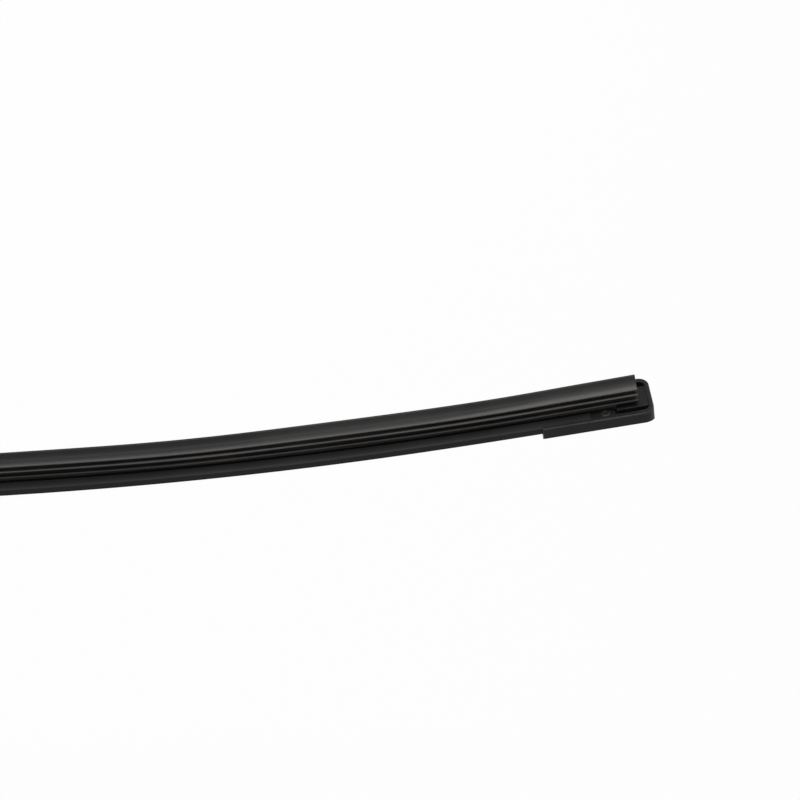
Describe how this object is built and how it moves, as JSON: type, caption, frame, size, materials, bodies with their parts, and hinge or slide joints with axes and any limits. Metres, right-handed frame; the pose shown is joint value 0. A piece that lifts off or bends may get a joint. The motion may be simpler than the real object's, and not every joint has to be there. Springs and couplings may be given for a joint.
{
  "type": "wiper blade",
  "caption": "Flat, bowed windscreen wiper blade: ribbed rubber lip on spring-steel rails, fin spoilers, end caps and a swinging clip for a hook-type arm.",
  "frame": {"origin": "on the axis of the pivot pin, midway between the connector's two ears", "axes": "+X along the blade towards the tip in the picture, +Z from the arm towards the rubber lip, +Y towards the spoiler fin's rear side"},
  "size_m": [0.4774, 0.015, 0.0547],
  "materials": {
    "rubber": "smooth black wiper rubber with a dull sheen",
    "spring_steel": "black coated spring steel",
    "spoiler": "semi-matt black extruded elastomer",
    "cap_plastic": "fine-grained black moulded plastic",
    "pin_steel": "plain steel rivet",
    "adapter_plastic": "smooth black moulded plastic"
  },
  "bodies": {
    "clip": {"hook_adapter": "adapter_plastic"},
    "blade": {"wiper_rubber": "rubber", "spring_rail_front": "spring_steel", "spring_rail_rear": "spring_steel", "spoiler_left": "spoiler", "spoiler_right": "spoiler", "end_cap_left": "cap_plastic", "end_cap_right": "cap_plastic", "connector_base": "cap_plastic", "pivot_pin": "pin_steel"}
  },
  "joints": [
    {"name": "blade_pivot", "type": "hinge", "parent": "clip", "child": "blade", "pos_m": [0, 0, 0], "axis": [0, 1, 0], "range_deg": [-12, 60]}
  ]
}
